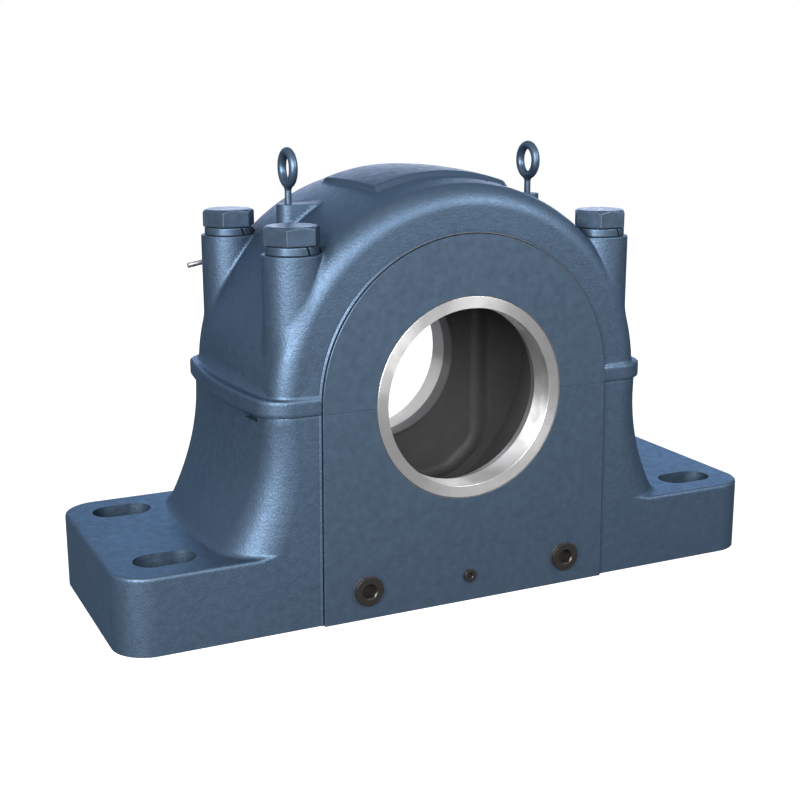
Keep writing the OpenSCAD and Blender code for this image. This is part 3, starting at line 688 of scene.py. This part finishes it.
def wall_bore(side):
    """The bore through an end wall with its labyrinth grooves, as a solid to cut away."""
    mouth_grow, mouth_depth, end = 1.5, 0.5, -60
    outer, neck, fin, sleeve = (r + RING_GAP for r in (RING_R, NECK_R, FIN_R, SLEEVE_R))
    rim, floor = -RIM_DEPTH - RING_END_GAP, -NECK_DEPTH - RING_END_GAP
    profile = [(0, OVERCUT), (outer + mouth_grow, OVERCUT), (outer, -mouth_depth),
               (outer, rim), (neck, rim)]
    for depth in FIN_DEPTHS:
        near, far = RING_END_GAP - depth, -depth - FIN_W - RING_END_GAP
        profile += [(neck, near), (fin, near), (fin, far), (neck, far)]
    profile += [(neck, floor), (sleeve, floor), (sleeve, end), (0, end)]
    return turned(profile[::-1], (0, side * END_FACE_Y, CENTRE_Z), (0, side, 0), 192)


def seat():
    """The bearing seat, as a solid to cut away."""
    return turned(rod(SEAT_R, -SEAT_HALF_W, SEAT_HALF_W), (0, 0, CENTRE_Z), (0, 1, 0), 256)


def plate_solid(side, outline, rows):
    """A solid on an end face from (height, grow) pairs. outline(grow) gives the (x, z) pairs of the
    face's outline, drawn larger by grow. Each outline runs anticlockwise, seen from outside."""
    u, v, _ = frame_along((0, side, 0))
    levels = []
    for height, grow in rows:
        flat = [(x * u.x + z * u.z, x * v.x + z * v.z) for x, z in outline(grow)]
        area = sum(a[0] * b[1] - b[0] * a[1] for a, b in zip(flat, flat[1:] + flat[:1]))
        levels.append((height, flat if area > 0 else flat[::-1]))
    return lofted(levels, (0, side * END_FACE_Y, 0), (0, side, 0))


def add_face_plate(casting, side, outline):
    """The flat end face with broken edges, in a narrow groove behind a low rim of cast metal."""
    combine(casting, plate_solid(side, outline, RIM_LEVELS), "UNION")
    combine(casting, plate_solid(side, outline, GROOVE_LEVELS), "DIFFERENCE")
    combine(casting, plate_solid(side, outline, PLATE_LEVELS), "UNION")


def joint_half_w(grow):
    """Half the end face's width at the joint between the castings."""
    return FACE_LOW_W - (FACE_LOW_W - FACE_R) * CENTRE_Z / ARCH_Z + grow


def base_plate(grow):
    """The outline of the base's end face. Its edge along the joint is broken, but never grows."""
    low, high, z = FACE_LOW_W + grow, joint_half_w(grow), CENTRE_Z + min(grow, 0)
    return [(-low, 0), (low, 0), (high, z), (-high, z)]


def cap_plate(grow):
    """The outline of the cap's end face, a half circle that runs on down to the joint."""
    r, turns = FACE_R + grow, [math.pi * i / 120 for i in range(121)]
    points = [(r * math.cos(a), ARCH_Z + r * math.sin(a)) for a in turns]
    z = CENTRE_Z - min(grow, 0)
    return points + [(-joint_half_w(grow), z), (joint_half_w(grow), z)]


def slot_outline():
    """A foot slot's outline: two straight sides and two round ends."""
    half = SLOT_W / 2
    reach = SLOT_L / 2 - half
    turns = [math.pi * (i / 24 - 0.5) for i in range(25)]
    outline = [(reach + half * math.cos(a), half * math.sin(a)) for a in turns]
    return outline + [(-reach - half * math.cos(a), -half * math.sin(a)) for a in turns]


def pry_slot(sx):
    """The pry slot at the joint, on the left side (-1) or the right (1), as a solid to cut away."""
    x0, x1 = sorted((sx * (BODY_HALF_W - PRY_D), sx * (BODY_HALF_W + 5)))
    y0, y1 = -PRY_Y - PRY_L / 2, -PRY_Y + PRY_L / 2
    return block((x0, y0, CENTRE_Z - PRY_H), (x1, y1, CENTRE_Z + OVERCUT))


def make_base():
    """The base: its field, cut off level at the joint and the sole, then its faces, bores and holes."""
    closed = between(base_distance, -10, CENTRE_Z + 10)
    base = new_object("cast_base", *surface_mesh(closed, *BASE_GRID, STEP))
    combine(base, block((-500, -200, 0), (500, 200, CENTRE_Z)), "INTERSECT")
    for side in (-1, 1):
        add_face_plate(base, side, base_plate)
    cut(base, seat(), wall_bore(-1), wall_bore(1))
    for sx in (-1, 1):
        for sy in (-1, 1):
            at = (sx * SLOT_X, sy * SLOT_Y, 0)
            cut(base, extruded(slot_outline(), at, (0, 0, 1), -OVERCUT, FOOT_H + OVERCUT))
            cut(base, blind_hole(BOLT_D, BOLT_GRIP, (sx * BOLT_X, sy * BOLT_Y, CENTRE_Z), (0, 0, 1), 48))
        cut(base, pry_slot(sx))
        dowel = rod(DOWEL_D / 2 + DOWEL_GAP, -DOWEL_L / 2 - DOWEL_ROOM, OVERCUT)
        cut(base, turned(dowel, (sx * DOWEL_X, sx * DOWEL_Y, CENTRE_Z), (0, 0, 1), 48))
    cut(base, *plug_ways())
    return base


def make_cap():
    """The cap: its field, cut off level at the joint, then its faces, bores and holes."""
    closed = between(cap_distance, CENTRE_Z - 10, 530)
    cap = new_object("cast_cap", *surface_mesh(closed, *CAP_GRID, STEP))
    combine(cap, block((-500, -200, CENTRE_Z), (500, 200, 600)), "INTERSECT")
    for side in (-1, 1):
        add_face_plate(cap, side, cap_plate)
    cut(cap, seat(), wall_bore(-1), wall_bore(1))
    for sx in (-1, 1):
        for sy in (-1, 1):
            hole = rod(BOLT_D / 2 + BOLT_HOLE_GAP, -OVERCUT, TOWER_TOP - CENTRE_Z + OVERCUT)
            cut(cap, turned(hole, (sx * BOLT_X, sy * BOLT_Y, CENTRE_Z), (0, 0, 1), 64))
            spot = rod(SPOT_R, 0, WASHER_T + HEAD_H)
            cut(cap, turned(spot, (sx * BOLT_X, sy * BOLT_Y, TOWER_TOP), (0, 0, 1), 96))
        dowel = rod(DOWEL_D / 2 + DOWEL_GAP, -OVERCUT, DOWEL_L / 2 + DOWEL_ROOM)
        cut(cap, turned(dowel, (sx * DOWEL_X, sx * DOWEL_Y, CENTRE_Z), (0, 0, 1), 48))
        cut(cap, blind_hole(EYE_SHANK_D, EYE_SHANK_L, (sx * EYE_X, 0, BOSS_TOP), (0, 0, 1), 32))
    combine(cap, turned(rod(PIPE_SEAT_R, -TOWER_R, 0), PIPE_AT, PIPE_OUT, 64), "UNION")
    cut(cap, turned(rod(PIPE_SEAT_R, 0, TOWER_R), PIPE_AT, PIPE_OUT, 64))
    cut(cap, blind_hole(PIPE_THREAD_D, PIPE_THREAD_L, PIPE_AT, PIPE_OUT, 32))
    return cap


def paint_faces(obj):
    """Puts smooth paint on the end faces, and the inside's primer, darkened as painted shade, on the faces
    round the bearing.
    """
    mesh = obj.data
    mesh.materials.clear()
    for m in (paint, flat_paint, shaded_inside_primer):
        mesh.materials.append(m)
    centre = read(mesh.polygons, "center", 3) / MM
    facing = np.abs(read(mesh.polygons, "normal", 3)[:, 1])
    along = np.abs(centre[:, 1])
    radius = np.hypot(centre[:, 0], centre[:, 2] - CENTRE_Z)
    inner_r = np.where(along < INNER_WALL_Y + 1, SEAT_R + 0.5, FIN_R + 3)
    index = np.zeros(len(mesh.polygons), np.int32)
    index[(along > END_FACE_Y - 0.1) & (facing > 0.9)] = 1
    # Faces inside the housing get the darkened primer, a painted shade
    index[(along < END_FACE_Y - 0.2) & (radius < inner_r)] = 2
    mesh.polygons.foreach_set("material_index", index)


base = make_base()
cap = make_cap()
for obj, distance, node in ((base, base_distance, "housing_base"), (cap, cap_distance, "housing_cap")):
    paint_faces(obj)
    smooth(obj)
    cast_normals(obj, distance)
    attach(obj, "housing")
    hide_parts(node)


# Small pieces, made from their fields in their own frame and then set in place

def field_piece(name, distance, low, high, step, material):
    """A mesh of a field, smooth and with the field's own normals."""
    piece = new_object(name, *surface_mesh(distance, low, high, step), [material])
    smooth(piece, 30.0)
    cast_normals(piece, distance)
    return piece


def placed(piece, name, at, turn=None):
    """A copy of the piece with its mesh moved into place."""
    copy = bpy.data.objects.new(name, piece.data.copy())
    bpy.context.scene.collection.objects.link(copy)
    copy.data.transform(Matrix.Translation(Vector(at) * MM) @ (turn or Matrix.Identity(4)))
    return copy


def stands_for(piece, node, body="housing"):
    """Lets a piece ride on its body in place of a CAD node."""
    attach(piece, body)
    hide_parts(node)


def make_shank(name, at):
    """A cap bolt's shank with a broken end, from under its head at this point."""
    low, r, broken = CENTRE_Z - BOLT_GRIP - TOWER_TOP - WASHER_T, BOLT_D / 2, 3
    profile = [(0, low), (r - broken, low), (r, low + broken), (r, 1), (0, 1)]
    shank = new_object(name, *turned(profile, at, (0, 0, 1), 64), [pin_steel])
    smooth(shank)
    return shank


def make_fasteners():
    """One head, washer and eyebolt, and their copies in place with the bolts' shanks."""
    head = field_piece(
        "head", head_distance, (-38, -34, -3), (38, 34, 26), 1.3 * SMALL_STEP, hardware_paint)
    washer = field_piece(
        "washer", washer_distance, (-34, -34, -3), (34, 34, 13), SMALL_STEP, hardware_paint)
    eye = field_piece(
        "eye", eyebolt_distance, (-10, -28, -25), (10, 28, 72), 1.2 * SMALL_STEP, hardware_paint)
    for f, sy in ENDS:
        for s, sx in SIDES:
            at = (sx * BOLT_X, sy * BOLT_Y, TOWER_TOP)
            stands_for(placed(washer, f"washer_{f}_{s}", at), f"spring_washer_{f}_{s}")
            at = (sx * BOLT_X, sy * BOLT_Y, TOWER_TOP + WASHER_T)
            bolt = placed(head, f"bolt_{f}_{s}", at)
            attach(make_shank(f"shank_{f}_{s}", at), "housing")
            stands_for(bolt, f"cap_bolt_{f}_{s}")
    for s, sx in SIDES:
        stands_for(placed(eye, f"eye_{s}", (sx * EYE_X, 0, BOSS_TOP)), f"eyebolt_{s}")
    for piece in (head, washer, eye):
        bpy.data.objects.remove(piece)


def make_plugs(sizes, step, spots):
    """Plugs of one size in both end faces. spots gives each one's x, z and CAD node."""
    def distance(p):
        return plug_distance(p, *sizes)

    collar_r, _, thread_l, _, _ = sizes
    low, high = (-collar_r - 3, -collar_r - 3, -thread_l - 3), (collar_r + 3, collar_r + 3, 8)
    plug = field_piece("plug", distance, low, high, step, black_steel)
    for f, side in ENDS:
        turn = Matrix.Rotation(-side * math.pi / 2, 4, "X")
        for x, z, node in spots:
            node = node.format(f)
            stands_for(placed(plug, "looks_of_" + node, (x, side * END_FACE_Y, z), turn), node)
    bpy.data.objects.remove(plug)


def make_seal_ring(side, name):
    """The ring's section with small chamfers, as in the CAD model otherwise."""
    section = [(SHAFT_R + RING_LEAD, 0), (RING_R - RING_CHAMFER, 0), (RING_R, RING_CHAMFER),
               (RING_R, RIM_DEPTH), (NECK_R, RIM_DEPTH)]
    for depth in FIN_DEPTHS:
        section += [(NECK_R, depth), (FIN_R, depth), (FIN_R, depth + FIN_W), (NECK_R, depth + FIN_W)]
    section += [(NECK_R, NECK_DEPTH), (SLEEVE_R, NECK_DEPTH), (SLEEVE_R, SLEEVE_DEPTH),
                (TAPER_R, SLEEVE_DEPTH), (SHAFT_R, TAPER_DEPTH), (SHAFT_R, RING_LEAD)]
    profile = [(r, -depth) for r, depth in reversed(section)]
    at = (0, side * END_FACE_Y, CENTRE_Z)
    ring = new_object(name, *turned(profile, at, (0, side, 0), 256), [ring_steel, faced_steel, shaded_ring_steel])
    # The end face gets the faced steel, and the taper and sleeve get the dark copy, which is painted shade
    for face in ring.data.polygons:
        depth = END_FACE_Y - abs(face.center.y) / MM
        face.material_index = 1 if depth < 0.1 else 2 if depth > TAPER_DEPTH else 0
    smooth(ring, 20.0)
    return ring


make_fasteners()
make_plugs((DRAIN_D / 2, DRAIN_THREAD_D / 2, DRAIN_THREAD_L, SOCKET_AF, GASKET_T), 0.9 * SMALL_STEP,
           ((-DRAIN_X, DRAIN_Z, "drain_plug_{}_left"), (DRAIN_X, DRAIN_Z, "drain_plug_{}_right")))
make_plugs((SMALL_D / 2, SMALL_THREAD_D / 2, SMALL_THREAD_L, SMALL_SOCKET_AF, 0.0), 0.5 * SMALL_STEP,
           ((0.0, SMALL_Z, "small_plug_{}"),))
for f, side in ENDS:
    stands_for(make_seal_ring(side, f"turned_ring_{f}"), f"{f}_seal_ring", f"{f}_ring")


def dress(prefix, material):
    """Gives the CAD nodes that stay their material."""
    for name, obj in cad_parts.items():
        if name.startswith(prefix):
            obj.data.materials.clear()
            obj.data.materials.append(material)


dress("dowel_pin", pin_steel)
dress("plug_gasket", copper)
dress("pipe_fitting", pipe_steel)
dress("grease_pipe", pipe_steel)


# Camera, fitted to the photograph, in metres

CAMERA_AT, LENS = (-0.75236, -1.53846, 0.63745), 60.06
YAW, PITCH, ROLL = math.radians(25.488), math.radians(13.595), math.radians(-0.201)


def add_camera():
    """The photograph's camera, turned by its yaw and pitch and then rolled about its own line."""
    forward = Vector((math.sin(YAW) * math.cos(PITCH), math.cos(YAW) * math.cos(PITCH), -math.sin(PITCH)))
    level = Vector((math.cos(YAW), -math.sin(YAW), 0))
    upright = level.cross(forward)
    right = level * math.cos(ROLL) + upright * math.sin(ROLL)
    up = upright * math.cos(ROLL) - level * math.sin(ROLL)
    data = bpy.data.cameras.new("camera")
    data.sensor_width = 36.0
    data.lens = LENS
    camera = bpy.data.objects.new("camera", data)
    turn = Matrix((right, up, -forward)).transposed().to_4x4()
    camera.matrix_world = Matrix.Translation(CAMERA_AT) @ turn
    bpy.context.scene.collection.objects.link(camera)
    bpy.context.scene.camera = camera


# Lights, in metres, and the floor. The area lights all point at the middle of the block.

MIDDLE = Vector((0, 0, 0.25))


def add_area(name, position, size, power, colour=(1, 1, 1)):
    """A rectangular light of this size in metres and power in watts."""
    data = bpy.data.lights.new(name, "AREA")
    data.shape = "RECTANGLE"
    data.size, data.size_y = size
    data.energy = power
    data.color = colour
    light = bpy.data.objects.new(name, data)
    light.location = position
    light.rotation_euler = (MIDDLE - Vector(position)).to_track_quat("-Z", "Y").to_euler()
    bpy.context.scene.collection.objects.link(light)


def ray_level(nodes, links, seen, mirrored):
    """The brightness that rays see: seen straight or through glass, and mirrored in a gloss."""
    path = nodes.new("ShaderNodeLightPath").outputs
    straight = math_node(nodes, links, "MAXIMUM", path["Is Camera Ray"], path["Is Transmission Ray"])
    level = math_node(nodes, links, "MULTIPLY", straight, seen)
    return math_node(nodes, links, "MULTIPLY_ADD", path["Is Glossy Ray"], mirrored, level)


def add_world(diffuse, mirrored):
    """A pale blue light from all sides, which the camera sees as pure white."""
    world = bpy.data.worlds.new("studio")
    bpy.context.scene.world = world
    world.use_nodes = True
    nodes, links = world.node_tree.nodes, world.node_tree.links
    pale = nodes["Background"]
    pale.inputs["Strength"].default_value = diffuse
    pale.inputs["Color"].default_value = (0.86, 0.94, 1, 1)
    white = nodes.new("ShaderNodeBackground")
    white.inputs["Color"].default_value = (1, 1, 1, 1)
    level = ray_level(nodes, links, 1.0, mirrored)
    links.new(level, white.inputs["Strength"])
    mix = nodes.new("ShaderNodeMixShader")
    links.new(math_node(nodes, links, "GREATER_THAN", level, 0.0), mix.inputs["Fac"])
    links.new(pale.outputs["Background"], mix.inputs[1])
    links.new(white.outputs["Background"], mix.inputs[2])
    links.new(mix.outputs["Shader"], nodes["World Output"].inputs["Surface"])


def add_floor(seen, mirrored):
    """A wide dull floor that glows for the camera, so that it runs into the white background."""
    half = 9000
    corners = [(-half, -half, 0), (half, -half, 0), (half, half, 0), (-half, half, 0)]
    floor = new_object("floor", corners, [(0, 1, 2, 3)])
    material, nodes, links = node_material("pale_floor")
    shader = nodes["Principled BSDF"]
    shader.inputs["Base Color"].default_value = (0.2, 0.2, 0.2, 1)
    shader.inputs["Roughness"].default_value = 1.0
    shader.inputs["Specular IOR Level"].default_value = 0.0
    glow = nodes.new("ShaderNodeEmission")
    links.new(ray_level(nodes, links, seen, mirrored), glow.inputs["Strength"])
    both = nodes.new("ShaderNodeAddShader")
    links.new(shader.outputs["BSDF"], both.inputs[0])
    links.new(glow.outputs["Emission"], both.inputs[1])
    links.new(both.outputs["Shader"], nodes["Material Output"].inputs["Surface"])
    floor.data.materials.append(material)


add_camera()
add_area("key", (-1.05, -2.3, 1.35), (2.0, 1.5), 140)
add_area("side", (-2.1, -1.6, 1.15), (0.5, 1.8), 135)
add_area("fill", (1.3, -1.9, 1.6), (1.0, 1.0), 62)
add_area("rim", (1.35, 2.5, 0.98), (2.8, 0.9), 40, (0.98, 0.95, 1.0))
add_world(0.6, 1.0)
add_floor(0.90, 0.05)

bpy.context.scene.view_settings.view_transform = "Standard"
